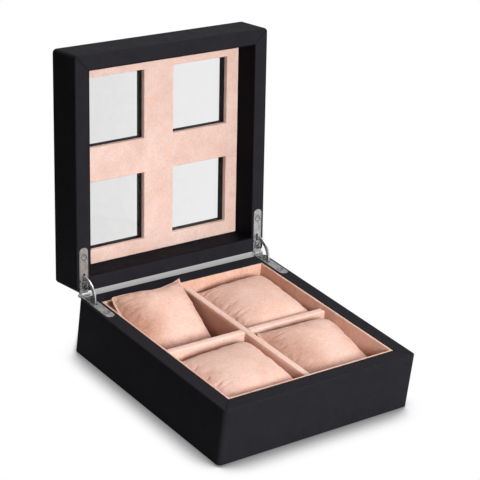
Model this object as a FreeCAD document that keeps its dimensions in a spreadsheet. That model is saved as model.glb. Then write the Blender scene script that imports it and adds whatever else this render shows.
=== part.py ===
import FreeCAD, Part
import os

# A watch box for four watches, shown with its lid open on its stop hinges.
# Frame: millimetres, origin at the middle of the underside, +X to the right, +Y to the back, +Z up.

DRIVING_SIZES = {
    # Outside of the closed box
    "box_width": 200.0,
    "box_depth": 203.5,
    "base_height": 51.2,
    "lid_height": 34.0,
    "corner_radius": 3.6,
    "edge_radius": 1.2,
    # Leatherette, felt and boards of the base
    "skin": 0.8,
    "felt_thickness": 1.2,
    "felt_inset": 4.0,
    "base_rim": 13.4,
    "bottom_board": 5.0,
    "floor_pad_thickness": 3.0,
    "lining_thickness": 2.2,
    "lining_drop": 0.1,
    "divider_thickness": 6.3,
    "divider_drop": 3.8,
    "divider_round": 1.6,
    # Lid
    "lid_rim": 13.7,
    "lid_board": 4.7,
    "velvet_panel": 4.2,
    "glass_thickness": 2.0,
    "panel_clearance": 0.15,
    "window_margin": 12.75,
    "window_bar": 30.6,
    # Hinges
    "open_angle": 99.0,
    "rim_gap": 1.0,
    "leaf_width": 8.6,
    "leaf_length": 41.5,
    "leaf_thickness": 1.4,
    "leaf_end_radius": 4.0,
    "leaf_clearance": 0.1,
    "knuckle_gap": 0.1,
    "knuckle_clearance": 0.3,
    "pin_diameter": 1.8,
    "pin_clearance": 0.05,
    "pin_head_diameter": 2.8,
    "pin_head_length": 1.2,
    "screw_near": 7.4,
    "screw_end_margin": 8.5,
    "screw_head": 4.8,
    "screw_shank": 2.2,
    "screw_length": 6.0,
    "screw_clearance": 0.05,
    "screw_slot": 0.6,
    "screw_slot_depth": 0.7,
    "stay_radius": 15.2,
    "stay_width": 3.2,
    "stay_thickness": 1.2,
    "stay_clearance": 0.3,
    "stay_tail": 1.6,
    "stud_diameter": 1.8,
    "stud_length": 3.4,
    # Cushions
    "cushion_end_room": 3.6,
    "cushion_front_room": 3.5,
    "cushion_seam_drop": 13.2,
    "cushion_crown": 13.0,
    "cushion_side": 12.0,
    "cushion_seam": 3.0,
    "cushion_waist_draw": 4.5,
    "cushion_end_draw": 2.5,
    "cushion_clearance": 0.3,
    "raised_gap": 0.9,
    "front_left_tilt": 4.0,
    "front_right_tilt": 13.0,
    "rear_left_tilt": 30.0,
    "rear_right_tilt": 4.0,
}

doc = FreeCAD.newDocument("watch_box")
sheet = doc.addObject("Spreadsheet::Sheet", "Sizes")
for row, (alias, value) in enumerate(DRIVING_SIZES.items(), start=1):
    sheet.set(f"A{row}", alias)
    sheet.set(f"B{row}", str(value))
    sheet.setAlias(f"B{row}", alias)
doc.recompute()

PASS_THROUGH = "(2 * Sizes.skin)"
HALF_WIDTH = "(Sizes.box_width / 2)"
HALF_DEPTH = "(Sizes.box_depth / 2)"

pieces = []


def finish(piece):
    """Adds a document object to the pieces that are written out."""
    pieces.append(piece)
    return piece


def block(name, low, high):
    """A rectangular block between two corners, each three expressions."""
    box = doc.addObject("Part::Box", name)
    for side, axis, start, end in zip(("Length", "Width", "Height"), "xyz", low, high):
        box.setExpression(side, f"({end}) - ({start})")
        box.setExpression(f"Placement.Base.{axis}", start)
    return box


def rod(name, radius, length, centre):
    """A cylinder along X, of a length that is split evenly about its centre."""
    cylinder = doc.addObject("Part::Cylinder", name)
    cylinder.Placement.Rotation = FreeCAD.Rotation(BACKWARD, 90)
    cylinder.setExpression("Radius", radius)
    cylinder.setExpression("Height", length)
    cylinder.setExpression("Placement.Base.x", f"({centre[0]}) - ({length}) / 2")
    cylinder.setExpression("Placement.Base.y", centre[1])
    cylinder.setExpression("Placement.Base.z", centre[2])
    return cylinder


def fuse(name, shapes):
    """The union of several shapes."""
    union = doc.addObject("Part::MultiFuse", name)
    union.Shapes = shapes
    return union


def group(name, shapes):
    """Shapes that are placed together as one piece."""
    compound = doc.addObject("Part::Compound", name)
    compound.Links = shapes
    return compound


def cut(name, base, tools):
    """A base shape less one or more tools."""
    difference = doc.addObject("Part::Cut", name)
    difference.Base = base
    difference.Tool = tools[0] if len(tools) == 1 else fuse(f"{name}_tools", tools)
    return difference


def round_edges(name, base, chosen):
    """A base shape with the edges rounded to which chosen gives a radius."""
    doc.recompute()
    rounded = doc.addObject("Part::Fillet", name)
    rounded.Base = base
    radii = [(index, chosen(edge)) for index, edge in enumerate(base.Shape.Edges, start=1)]
    rounded.Edges = [(index, radius, radius) for index, radius in radii if radius]
    return rounded


def runs_along(edge, axis):
    """True for a straight edge parallel to an axis."""
    return edge.tangentAt(edge.FirstParameter).cross(axis).Length < SLANT_ALLOWED


def turn(piece, axis, angle):
    """Turns a piece about an axis through its own origin by an angle that is an expression."""
    # The first angle only sets the axis, which a turn of nothing would lose.
    piece.Placement.Rotation = FreeCAD.Rotation(axis, 90)
    piece.setExpression("Placement.Rotation.Angle", angle)


def hang_on_pivot(piece):
    """Moves a piece that was drawn about the pivot to the pivot's place."""
    piece.setExpression("Placement.Base.y", PIVOT_Y)
    piece.setExpression("Placement.Base.z", PIVOT_Z)


def ends_of(side, near, far):
    """The low and high X of a piece that stands between two distances from the middle."""
    return (f"-({far})", f"-({near})") if side < 0 else (near, far)


UP = FreeCAD.Vector(0, 0, 1)
RIGHTWARD = FreeCAD.Vector(1, 0, 0)
BACKWARD = FreeCAD.Vector(0, 1, 0)
SLANT_ALLOWED = 0.05
SIDES = {"left": -1, "right": 1}
PLACES = {"front": -1, "back": 1}

# Hinge datum: the pivot runs along X behind the back faces, half way up the gap between the rims.
KNUCKLE_RADIUS = "(Sizes.leaf_thickness + Sizes.rim_gap / 2)"
SETBACK = f"({KNUCKLE_RADIUS} + Sizes.knuckle_clearance)"
PIVOT_Y = f"({HALF_DEPTH} + {SETBACK})"
PIVOT_Z = "(Sizes.base_height + Sizes.rim_gap / 2)"
STAY_INSIDE = "(Sizes.stay_radius - Sizes.stay_width / 2)"
STAY_OUTSIDE = "(Sizes.stay_radius + Sizes.stay_width / 2)"
STUD_DEPTH = f"({KNUCKLE_RADIUS} + Sizes.stay_clearance + Sizes.stud_diameter / 2)"
STUD_ANGLE = f"asin({STUD_DEPTH} / Sizes.stay_radius)"
TAIL_ANGLE = "(Sizes.stay_tail / Sizes.stay_radius * 180 / pi * 1 deg)"
STAY_END_ANGLE = f"({STUD_ANGLE} + {TAIL_ANGLE})"
STAY_SWEEP = f"(Sizes.open_angle * 1 deg + 2 * {STAY_END_ANGLE})"


def hinge_x(side):
    """The middle of a hinge, on the middle of the base's side rim."""
    return f"({side} * ({HALF_WIDTH} - Sizes.base_rim / 2))"


def round_far_end(name, plate, clearance):
    """A leaf's plate, or with a clearance the recess for one, with the corners of its far end rounded."""
    doc.recompute()
    far_end = plate.Shape.BoundBox.YMin
    largest = LARGEST_END_ROUND * sheet.get("leaf_width")
    radius = min(sheet.get("leaf_end_radius"), largest) + clearance

    def chosen(edge):
        at_end = abs(edge.CenterOfMass.y - far_end) < radius / 2
        return radius if at_end and runs_along(edge, UP) else None

    return round_edges(name, plate, chosen)


def leaf_recess(name, side, datum_y, rim_z, up):
    """The shallow recess for a leaf, open at the back. The wall lies above the rim if up is 1."""
    reach = "(Sizes.leaf_width / 2 + Sizes.leaf_clearance)"
    floor = f"{rim_z} + {up} * Sizes.leaf_thickness"
    outside = f"{rim_z} - {up} * {PASS_THROUGH}"
    bottom, top = (outside, floor) if up > 0 else (floor, outside)
    low = (f"{hinge_x(side)} - {reach}", f"{datum_y} - Sizes.leaf_length - Sizes.leaf_clearance", bottom)
    high = (f"{hinge_x(side)} + {reach}", f"{datum_y} + {SETBACK}", top)
    return round_far_end(name, block(f"{name}_blank", low, high), sheet.get("leaf_clearance"))


def stay_pocket(name, side, datum_y, datum_z, up):
    """The curved pocket in a wall that the stay slides into as the lid closes."""
    width = "(Sizes.stud_length + 2 * Sizes.stay_clearance)"
    inside = f"({STAY_INSIDE} - Sizes.stay_clearance)"
    outside = f"({STAY_OUTSIDE} + Sizes.stay_clearance)"
    centre = (hinge_x(side), datum_y, datum_z)
    drum = rod(f"{name}_drum", outside, width, centre)
    core = rod(f"{name}_core", inside, f"2 * {width}", centre)
    ring = cut(f"{name}_ring", drum, [core])
    nearest = f"{STAY_INSIDE} * cos({STAY_SWEEP} / 2) - Sizes.stay_clearance"
    depth = f"{datum_z} + {up} * ({outside} + Sizes.stay_clearance)"
    bottom, top = (datum_z, depth) if up > 0 else (depth, datum_z)
    low = (f"{hinge_x(side)} - {width}", f"{datum_y} - {outside} - Sizes.stay_clearance", bottom)
    high = (f"{hinge_x(side)} + {width}", f"{datum_y} - ({nearest})", top)
    sector = doc.addObject("Part::Common", name)
    sector.Base = ring
    sector.Tool = block(f"{name}_limit", low, high)
    return sector


def screw(name, side, distance, datum_y, rim_z, up, clearance):
    """A countersunk screw, or with a clearance the hole for one, flush with a leaf in the rim."""
    head = doc.addObject("Part::Cone", f"{name}_head")
    shank = doc.addObject("Part::Cylinder", f"{name}_shank")
    head.setExpression("Radius1", f"Sizes.screw_head / 2 + {clearance}")
    head.setExpression("Radius2", f"Sizes.screw_shank / 2 + {clearance}")
    head.setExpression("Height", "Sizes.leaf_thickness")
    shank.setExpression("Radius", f"Sizes.screw_shank / 2 + {clearance}")
    shank.setExpression("Height", f"Sizes.leaf_thickness + Sizes.screw_length + {clearance}")
    for solid in (head, shank):
        if up < 0:
            solid.Placement.Rotation = FreeCAD.Rotation(RIGHTWARD, 180)
        solid.setExpression("Placement.Base.x", hinge_x(side))
        solid.setExpression("Placement.Base.y", f"{datum_y} - {distance}")
        solid.setExpression("Placement.Base.z", rim_z)
    return fuse(name, [head, shank])


LARGEST_END_ROUND = 0.48
SCREW_PLACES = {"near": "Sizes.screw_near", "far": "(Sizes.leaf_length - Sizes.screw_end_margin)"}


def hinge_cuts(name, side, datum_y, datum_z, rim_z, up):
    """All that is cut out of a side wall for a hinge: leaf recess, stay pocket and screw holes."""
    cuts = [leaf_recess(f"{name}_recess", side, datum_y, rim_z, up)]
    cuts.append(stay_pocket(f"{name}_pocket", side, datum_y, datum_z, up))
    for place, distance in SCREW_PLACES.items():
        hole = screw(f"{name}_{place}_hole", side, distance, datum_y, rim_z, up, "Sizes.screw_clearance")
        cuts.append(hole)
    return cuts


# Base: wooden walls and bottom board under a leatherette cover, on a felt sheet
WALL_BOTTOM = "(Sizes.felt_thickness + Sizes.skin)"
WALL_TOP = "(Sizes.base_height - Sizes.skin)"
CORE_X = f"({HALF_WIDTH} - Sizes.skin)"
CORE_Y = f"({HALF_DEPTH} - Sizes.skin)"
INNER_X = f"({HALF_WIDTH} - Sizes.base_rim)"
INNER_Y = f"({HALF_DEPTH} - Sizes.base_rim)"


def core_radius(edge):
    """Chooses the upright corners under the cover, so that the cover is as thick there."""
    outermost = sheet.get("box_width") / 2 - sheet.get("skin")
    on_corner = abs(abs(edge.CenterOfMass.x) - outermost) < sheet.get("skin") / 2
    return sheet.get("corner_radius") - sheet.get("skin") if on_corner and runs_along(edge, UP) else None


for hand, side in SIDES.items():
    low_x, high_x = ends_of(side, INNER_X, CORE_X)
    blank = block(f"base_{hand}_blank", (low_x, f"-{CORE_Y}", WALL_BOTTOM), (high_x, CORE_Y, WALL_TOP))
    wall = round_edges(f"base_{hand}_rounded", blank, core_radius)
    tools = hinge_cuts(f"base_{hand}_hinge", side, PIVOT_Y, PIVOT_Z, "Sizes.base_height", -1)
    finish(cut(f"base_{hand}_wall", wall, tools))

for place, facing in PLACES.items():
    low_y, high_y = ends_of(facing, INNER_Y, CORE_Y)
    finish(block(f"base_{place}_wall", (f"-{INNER_X}", low_y, WALL_BOTTOM), (INNER_X, high_y, WALL_TOP)))

BOARD_TOP = "(Sizes.felt_thickness + Sizes.bottom_board)"
board_low = (f"-{INNER_X}", f"-{INNER_Y}", "Sizes.felt_thickness")
finish(block("base_bottom_panel", board_low, (INNER_X, INNER_Y, BOARD_TOP)))

FELT_X = f"({HALF_WIDTH} - Sizes.felt_inset)"
FELT_Y = f"({HALF_DEPTH} - Sizes.felt_inset)"
finish(block("base_felt", (f"-{FELT_X}", f"-{FELT_Y}", "0"), (FELT_X, FELT_Y, "Sizes.felt_thickness")))


def cover_radius(rounded_levels):
    """Chooses the upright corners of a cover, and its level edges at the given heights."""

    def chosen(edge):
        if runs_along(edge, UP):
            return sheet.get("corner_radius")
        level = edge.CenterOfMass.z
        on_level = any(abs(level - height) < sheet.get("skin") / 2 for height in rounded_levels)
        return sheet.get("edge_radius") if on_level else None

    return chosen


cover_low = (f"-{HALF_WIDTH}", f"-{HALF_DEPTH}", "Sizes.felt_thickness")
cover_block = block("base_cover_block", cover_low, (HALF_WIDTH, HALF_DEPTH, "Sizes.base_height"))
cover_round = round_edges("base_cover_round", cover_block, cover_radius([sheet.get("base_height")]))
core_block = block("base_core_block", (f"-{CORE_X}", f"-{CORE_Y}", WALL_BOTTOM), (CORE_X, CORE_Y, WALL_TOP))
cover_core = round_edges("base_cover_core", core_block, core_radius)
mouth_low = (f"-{INNER_X}", f"-{INNER_Y}", "Sizes.felt_thickness - Sizes.skin")
cover_mouth = block("base_cover_mouth", mouth_low, (INNER_X, INNER_Y, "Sizes.base_height + Sizes.skin"))
cover_tools = [cover_core, cover_mouth]
for hand, side in SIDES.items():
    cover_tools.append(leaf_recess(f"base_cover_{hand}_recess", side, PIVOT_Y, "Sizes.base_height", -1))
finish(cut("base_leather_cover", cover_round, cover_tools))

# Lining of the base: velvet-covered boards along the walls, a floor pad and dividers
LINING_TOP = "(Sizes.base_height - Sizes.lining_drop)"
LINED_X = f"({INNER_X} - Sizes.lining_thickness)"
LINED_Y = f"({INNER_Y} - Sizes.lining_thickness)"
FLOOR_TOP = f"({BOARD_TOP} + Sizes.floor_pad_thickness)"

for hand, side in SIDES.items():
    low_x, high_x = ends_of(side, LINED_X, INNER_X)
    finish(block(f"lining_{hand}", (low_x, f"-{INNER_Y}", BOARD_TOP), (high_x, INNER_Y, LINING_TOP)))

for place, facing in PLACES.items():
    low_y, high_y = ends_of(facing, LINED_Y, INNER_Y)
    finish(block(f"lining_{place}", (f"-{LINED_X}", low_y, BOARD_TOP), (LINED_X, high_y, LINING_TOP)))

finish(block("floor_pad", (f"-{LINED_X}", f"-{LINED_Y}", BOARD_TOP), (LINED_X, LINED_Y, FLOOR_TOP)))

DIVIDER_TOP = "(Sizes.base_height - Sizes.divider_drop)"
DIVIDER_HALF = "(Sizes.divider_thickness / 2)"


def divider_radius(axis):
    """Chooses the two long upper edges of a divider that runs along an axis."""
    top = sheet.get("base_height") - sheet.get("divider_drop")

    def chosen(edge):
        on_top = abs(edge.CenterOfMass.z - top) < sheet.get("divider_round") / 2
        return sheet.get("divider_round") if on_top and runs_along(edge, axis) else None

    return chosen


long_low = (f"-{DIVIDER_HALF}", f"-{LINED_Y}", FLOOR_TOP)
long_blank = block("divider_long_blank", long_low, (DIVIDER_HALF, LINED_Y, DIVIDER_TOP))
finish(round_edges("divider_long", long_blank, divider_radius(BACKWARD)))

for hand, side in SIDES.items():
    low_x, high_x = ends_of(side, DIVIDER_HALF, LINED_X)
    low, high = (low_x, f"-{DIVIDER_HALF}", FLOOR_TOP), (high_x, DIVIDER_HALF, DIVIDER_TOP)
    cross_blank = block(f"divider_cross_{hand}_blank", low, high)
    finish(round_edges(f"divider_cross_{hand}", cross_blank, divider_radius(RIGHTWARD)))

# Lid: drawn closed with the pivot at the origin, then swung open about the pivot
LID_RIM = "(Sizes.rim_gap / 2)"
LID_BACK = f"(-{SETBACK})"
LID_FRONT = f"(-{SETBACK} - Sizes.box_depth)"
LID_WALL_BOTTOM = f"({LID_RIM} + Sizes.skin)"
LID_TOP = f"({LID_RIM} + Sizes.lid_height)"
LID_BOARD_TOP = f"({LID_TOP} - Sizes.skin)"
LID_ROOF = f"({LID_BOARD_TOP} - Sizes.lid_board)"
LID_GLASS = f"({LID_ROOF} - Sizes.glass_thickness)"
LID_PANEL = f"({LID_GLASS} - Sizes.velvet_panel)"
LID_LINER = "(Sizes.lid_rim - Sizes.skin)"
LID_LINER_X = f"({HALF_WIDTH} - {LID_LINER})"


def open_lid(piece):
    """Swings a piece of the closed lid open about the pivot."""
    turn(piece, -RIGHTWARD, "Sizes.open_angle")
    hang_on_pivot(piece)
    return finish(piece)


def lid_slab(name, inset, bottom, top):
    """A block of the lid that stays inside its four sides by an inset."""
    low = (f"-({HALF_WIDTH} - {inset})", f"{LID_FRONT} + {inset}", bottom)
    high = (f"{HALF_WIDTH} - {inset}", f"{LID_BACK} - {inset}", top)
    return block(name, low, high)


def lid_windows(name, bottom, top, wider="0"):
    """Four window openings between the crossing bars and the margin inside the rim."""
    middle = f"({LID_BACK} - {HALF_DEPTH})"
    near = f"(Sizes.window_bar / 2 - {wider})"
    border = f"(Sizes.lid_rim + Sizes.window_margin - {wider})"
    openings = []
    for hand, side in SIDES.items():
        low_x, high_x = ends_of(side, near, f"{HALF_WIDTH} - {border}")
        for place, facing in PLACES.items():
            low_y, high_y = ends_of(facing, near, f"{HALF_DEPTH} - {border}")
            low = (low_x, f"{middle} + ({low_y})", bottom)
            high = (high_x, f"{middle} + ({high_y})", top)
            openings.append(block(f"{name}_{place}_{hand}", low, high))
    return openings


for hand, side in SIDES.items():
    low_x, high_x = ends_of(side, LID_LINER_X, CORE_X)
    low = (low_x, f"{LID_FRONT} + Sizes.skin", LID_WALL_BOTTOM)
    blank = block(f"lid_{hand}_blank", low, (high_x, f"{LID_BACK} - Sizes.skin", LID_ROOF))
    wall = round_edges(f"lid_{hand}_rounded", blank, core_radius)
    tools = hinge_cuts(f"lid_{hand}_hinge", side, "0", "0", LID_RIM, 1)
    open_lid(cut(f"lid_{hand}_wall", wall, tools))

lid_wall_reach = {
    "front": (f"{LID_FRONT} + Sizes.skin", f"{LID_FRONT} + {LID_LINER}"),
    "back": (f"{LID_BACK} - {LID_LINER}", f"{LID_BACK} - Sizes.skin"),
}
for place, (low_y, high_y) in lid_wall_reach.items():
    low, high = (f"-{LID_LINER_X}", low_y, LID_WALL_BOTTOM), (LID_LINER_X, high_y, LID_ROOF)
    wall = block(f"lid_{place}_blank", low, high)
    open_lid(group(f"lid_{place}_wall", [wall]))

board_block = lid_slab("lid_board_block", "Sizes.skin", LID_ROOF, LID_BOARD_TOP)
board = round_edges("lid_board_rounded", board_block, core_radius)
open_lid(cut("lid_top_panel", board, lid_windows("lid_board_window", LID_GLASS, LID_TOP, "Sizes.skin")))

PANEL_INSET = "(Sizes.lid_rim + Sizes.panel_clearance)"
glass = lid_slab("lid_glass_sheet", PANEL_INSET, LID_GLASS, LID_ROOF)
open_lid(group("lid_glass", [glass]))

velvet = lid_slab("lid_velvet_blank", PANEL_INSET, LID_PANEL, LID_GLASS)
velvet_windows = lid_windows("lid_velvet_window", f"{LID_PANEL} - Sizes.skin", LID_ROOF)
open_lid(cut("lid_velvet_panel", velvet, velvet_windows))

lid_block = lid_slab("lid_cover_block", "0", LID_RIM, LID_TOP)
lid_levels = [sheet.get("rim_gap") / 2, sheet.get("rim_gap") / 2 + sheet.get("lid_height")]
lid_round = round_edges("lid_cover_round", lid_block, cover_radius(lid_levels))
lid_core_block = lid_slab("lid_core_block", "Sizes.skin", LID_WALL_BOTTOM, LID_BOARD_TOP)
lid_core = round_edges("lid_cover_core", lid_core_block, core_radius)
lid_mouth = lid_slab("lid_cover_mouth", "Sizes.lid_rim", f"{LID_RIM} - Sizes.skin", LID_PANEL)
lid_shell = cut("lid_cover_shell", lid_round, [lid_core, lid_mouth])
liner_block = lid_slab("lid_liner_block", LID_LINER, LID_RIM, LID_ROOF)
liner_mouth = lid_slab("lid_liner_mouth", "Sizes.lid_rim", f"{LID_RIM} - Sizes.skin", LID_TOP)
liner = cut("lid_liner", liner_block, [liner_mouth])
window_turn_ins = lid_windows("lid_window_turn_in", LID_ROOF, LID_BOARD_TOP, "Sizes.skin")
lid_skin = fuse("lid_cover_skin", [lid_shell, liner] + window_turn_ins)
skin_cuts = lid_windows("lid_cover_window", f"{LID_ROOF} - Sizes.skin", f"{LID_TOP} + Sizes.skin")
for hand, side in SIDES.items():
    skin_cuts.append(leaf_recess(f"lid_cover_{hand}_recess", side, "0", LID_RIM, 1))
open_lid(cut("lid_leather_cover", lid_skin, skin_cuts))

# Stop hinges: two leaves on a pin, and a curved stay that runs through a slot in each leaf
KNUCKLE_COUNT = 5
KNUCKLE_PITCH = f"(Sizes.leaf_width / {KNUCKLE_COUNT})"


def knuckle_centre(side, place, datum_y, datum_z):
    """The middle of one knuckle, counted from the left."""
    return (f"{hinge_x(side)} + ({place} - {(KNUCKLE_COUNT - 1) / 2}) * {KNUCKLE_PITCH}", datum_y, datum_z)


def leaf(name, side, datum_y, datum_z, rim_z, up, pin_fit):
    """A hinge leaf: a plate with a rounded end, knuckles, screw holes and a slot for the stay."""
    half = "(Sizes.leaf_width / 2)"
    inner_face = f"{rim_z} + {up} * Sizes.leaf_thickness"
    bottom, top = (rim_z, inner_face) if up > 0 else (inner_face, rim_z)
    low = (f"{hinge_x(side)} - {half}", f"{datum_y} - Sizes.leaf_length", bottom)
    high = (f"{hinge_x(side)} + {half}", datum_y, top)
    solids = [round_far_end(f"{name}_rounded", block(f"{name}_plate", low, high), 0)]
    own_places = range(0, KNUCKLE_COUNT, 2) if up < 0 else range(1, KNUCKLE_COUNT, 2)
    other_places = [place for place in range(KNUCKLE_COUNT) if place not in own_places]
    for place in own_places:
        centre = knuckle_centre(side, place, datum_y, datum_z)
        width = f"{KNUCKLE_PITCH} - Sizes.knuckle_gap"
        solids.append(rod(f"{name}_knuckle_{place}", KNUCKLE_RADIUS, width, centre))
    tools = []
    for place in other_places:
        centre = knuckle_centre(side, place, datum_y, datum_z)
        room = f"{KNUCKLE_RADIUS} + Sizes.knuckle_clearance"
        tools.append(rod(f"{name}_room_{place}", room, f"{KNUCKLE_PITCH} + Sizes.knuckle_gap", centre))
    bore = f"Sizes.pin_diameter / 2 + {pin_fit}"
    tools.append(rod(f"{name}_bore", bore, "2 * Sizes.leaf_width", (hinge_x(side), datum_y, datum_z)))
    slot_half = "(Sizes.stay_thickness / 2 + Sizes.stay_clearance)"
    slot_reach = f"(Sizes.leaf_thickness + {PASS_THROUGH})"
    slot_front = f"{datum_y} - {STAY_OUTSIDE} - Sizes.stay_clearance"
    slot_back = f"{datum_y} - sqrt({STAY_INSIDE}^2 - {KNUCKLE_RADIUS}^2) + Sizes.stay_clearance"
    slot_low = (f"{hinge_x(side)} - {slot_half}", slot_front, f"{rim_z} - {slot_reach}")
    slot_high = (f"{hinge_x(side)} + {slot_half}", slot_back, f"{rim_z} + {slot_reach}")
    tools.append(block(f"{name}_slot", slot_low, slot_high))
    for place, distance in SCREW_PLACES.items():
        hole = screw(f"{name}_{place}_hole", side, distance, datum_y, rim_z, up, "Sizes.screw_clearance")
        tools.append(hole)
    return cut(name, fuse(f"{name}_solid", solids), tools)


def screws(name, side, datum_y, rim_z, up):
    """The two screws of a leaf, each with a slot across its head."""
    slots = []
    bodies = []
    for place, distance in SCREW_PLACES.items():
        bodies.append(screw(f"{name}_{place}", side, distance, datum_y, rim_z, up, "0"))
        across = "Sizes.screw_head"
        half = "(Sizes.screw_slot / 2)"
        bottom, top = f"{rim_z} - Sizes.screw_slot_depth", f"{rim_z} + Sizes.screw_slot_depth"
        low = (f"{hinge_x(side)} - {across}", f"{datum_y} - {distance} - {half}", bottom)
        high = (f"{hinge_x(side)} + {across}", f"{datum_y} - {distance} + {half}", top)
        slots.append(block(f"{name}_{place}_slot", low, high))
    return cut(name, fuse(f"{name}_solid", bodies), slots)


def pin(name, side):
    """The hinge pin, with a low head at each end outside the knuckles."""
    middle = (hinge_x(side), PIVOT_Y, PIVOT_Z)
    solids = [rod(f"{name}_shaft", "Sizes.pin_diameter / 2", "Sizes.leaf_width", middle)]
    for end, facing in SIDES.items():
        head_x = f"{hinge_x(side)} + {facing} * (Sizes.leaf_width + Sizes.pin_head_length) / 2"
        centre = (head_x, PIVOT_Y, PIVOT_Z)
        radius = "Sizes.pin_head_diameter / 2"
        solids.append(rod(f"{name}_{end}_head", radius, "Sizes.pin_head_length", centre))
    return fuse(name, solids)


def stay(name, side):
    """The curved strip about the pivot, with a stud near each end that stops against the leaves."""
    outer = doc.addObject("Part::Cylinder", f"{name}_outer")
    outer.setExpression("Radius", STAY_OUTSIDE)
    outer.setExpression("Height", "Sizes.stay_thickness")
    outer.setExpression("Angle", STAY_SWEEP)
    outer.Placement.Rotation = FreeCAD.Rotation(-BACKWARD, UP, -RIGHTWARD, "ZXY")
    outer.setExpression("Placement.Base.x", "Sizes.stay_thickness / 2")
    core = rod(f"{name}_core", STAY_INSIDE, "2 * Sizes.stay_thickness", ("0", "0", "0"))
    strip = cut(f"{name}_strip", outer, [core])
    studs = []
    for end, angle in (("base", TAIL_ANGLE), ("lid", f"({STAY_SWEEP} - {TAIL_ANGLE})")):
        centre = ("0", f"-Sizes.stay_radius * cos({angle})", f"Sizes.stay_radius * sin({angle})")
        studs.append(rod(f"{name}_{end}_stud", "Sizes.stud_diameter / 2", "Sizes.stud_length", centre))
    whole = fuse(name, [strip] + studs)
    turn(whole, RIGHTWARD, STAY_END_ANGLE)
    hang_on_pivot(whole)
    whole.setExpression("Placement.Base.x", hinge_x(side))
    return whole


for hand, side in SIDES.items():
    finish(leaf(f"{hand}_hinge_base_leaf", side, PIVOT_Y, PIVOT_Z, "Sizes.base_height", -1, "0"))
    open_lid(leaf(f"{hand}_hinge_lid_leaf", side, "0", "0", LID_RIM, 1, "Sizes.pin_clearance"))
    finish(pin(f"{hand}_hinge_pin", side))
    finish(stay(f"{hand}_hinge_stay", side))
    finish(screws(f"{hand}_hinge_base_screws", side, PIVOT_Y, "Sizes.base_height", -1))
    open_lid(screws(f"{hand}_hinge_lid_screws", side, "0", LID_RIM, 1))

doc.recompute()

# Cushions: pillows whose ends are sewn flat, so that the corners stand out and the waist is drawn in.
# They lie loose and each leans its own way. One in the back is propped up against the back lining.
CUSHION_STATIONS = (-1.0, -0.9, -0.6, 0.0, 0.6, 0.9, 1.0)
SWELL_SHAPE = 2.6
SWELL_RISE = 0.55
EAR_SHAPE = 2.4
EDGE_RISE = 1.2
SHOULDER_INSET = 0.8

floor_top = sheet.get("felt_thickness") + sheet.get("bottom_board") + sheet.get("floor_pad_thickness")
board_edge = sheet.get("base_rim") + sheet.get("lining_thickness")
lined_x = sheet.get("box_width") / 2 - board_edge
lined_y = sheet.get("box_depth") / 2 - board_edge
divider_half = sheet.get("divider_thickness") / 2
cushion_length = lined_x - divider_half - 2 * sheet.get("cushion_end_room")
ear_span = lined_y - divider_half - 2 * sheet.get("cushion_front_room")
waist = ear_span - 2 * sheet.get("cushion_waist_draw")
seam_height = sheet.get("base_height") - sheet.get("cushion_seam_drop")
cushion_belly = seam_height - floor_top - sheet.get("cushion_clearance")


def cushion_section(station):
    """The outline across a pillow at a station from -1 to 1 along it: four arcs."""
    reach = abs(station)
    swell = (1 - reach ** SWELL_SHAPE) ** SWELL_RISE
    flare = reach ** EAR_SHAPE
    half = (waist * (1 - flare) + ear_span * flare) / 2
    seam = sheet.get("cushion_seam")
    edge = (seam + (sheet.get("cushion_side") - seam) * swell) / 2
    crown = EDGE_RISE * edge + (sheet.get("cushion_crown") - EDGE_RISE * edge) * swell
    belly = EDGE_RISE * edge + (cushion_belly - EDGE_RISE * edge) * swell
    shoulder = half - SHOULDER_INSET * edge
    x = station * cushion_length / 2
    back_top, front_top = FreeCAD.Vector(x, shoulder, edge), FreeCAD.Vector(x, -shoulder, edge)
    back_low, front_low = FreeCAD.Vector(x, shoulder, -edge), FreeCAD.Vector(x, -shoulder, -edge)
    arcs = [
        Part.Arc(back_top, FreeCAD.Vector(x, 0, crown), front_top),
        Part.Arc(front_top, FreeCAD.Vector(x, -half, 0), front_low),
        Part.Arc(front_low, FreeCAD.Vector(x, 0, -belly), back_low),
        Part.Arc(back_low, FreeCAD.Vector(x, half, 0), back_top),
    ]
    return Part.Wire([arc.toShape() for arc in arcs])


def cushion_shape():
    """A pillow about the middle of its seams, with its sewn ends drawn in between the corners."""
    pillow = Part.makeLoft([cushion_section(station) for station in CUSHION_STATIONS], True, False)
    draw = sheet.get("cushion_end_draw")
    scoop = ((ear_span / 2) ** 2 + draw ** 2) / (2 * draw)
    height = 2 * (sheet.get("cushion_crown") + cushion_belly)
    for side in SIDES.values():
        centre = side * (cushion_length / 2 - draw + scoop)
        tool = Part.makeCylinder(scoop, height, FreeCAD.Vector(centre, 0, -height / 2))
        pillow = pillow.cut(tool)
    return pillow.Solids[0]


for place, facing in (("front", -1), ("rear", 1)):
    for hand, side in SIDES.items():
        tilt = sheet.get(f"{place}_{hand}_tilt")
        lean = FreeCAD.Placement(FreeCAD.Vector(), FreeCAD.Rotation(RIGHTWARD, tilt))
        leaning = cushion_shape()
        leaning.Placement = lean
        reach = leaning.optimalBoundingBox()
        clear = sheet.get("cushion_clearance")
        middle_x = side * (lined_x + divider_half) / 2
        middle_y = facing * (lined_y + divider_half) / 2 - (reach.YMin + reach.YMax) / 2
        if (place, hand) == ("rear", "left"):
            middle_x = side * (lined_x - sheet.get("raised_gap") - cushion_length / 2)
            middle_y = lined_y - clear - reach.YMax
        cushion = doc.addObject("Part::Feature", f"cushion_{place}_{hand}")
        cushion.Shape = cushion_shape()
        middle = FreeCAD.Vector(middle_x, middle_y, floor_top + clear - reach.ZMin)
        cushion.Placement = FreeCAD.Placement(middle, lean.Rotation)
        finish(cushion)

doc.recompute()

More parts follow.
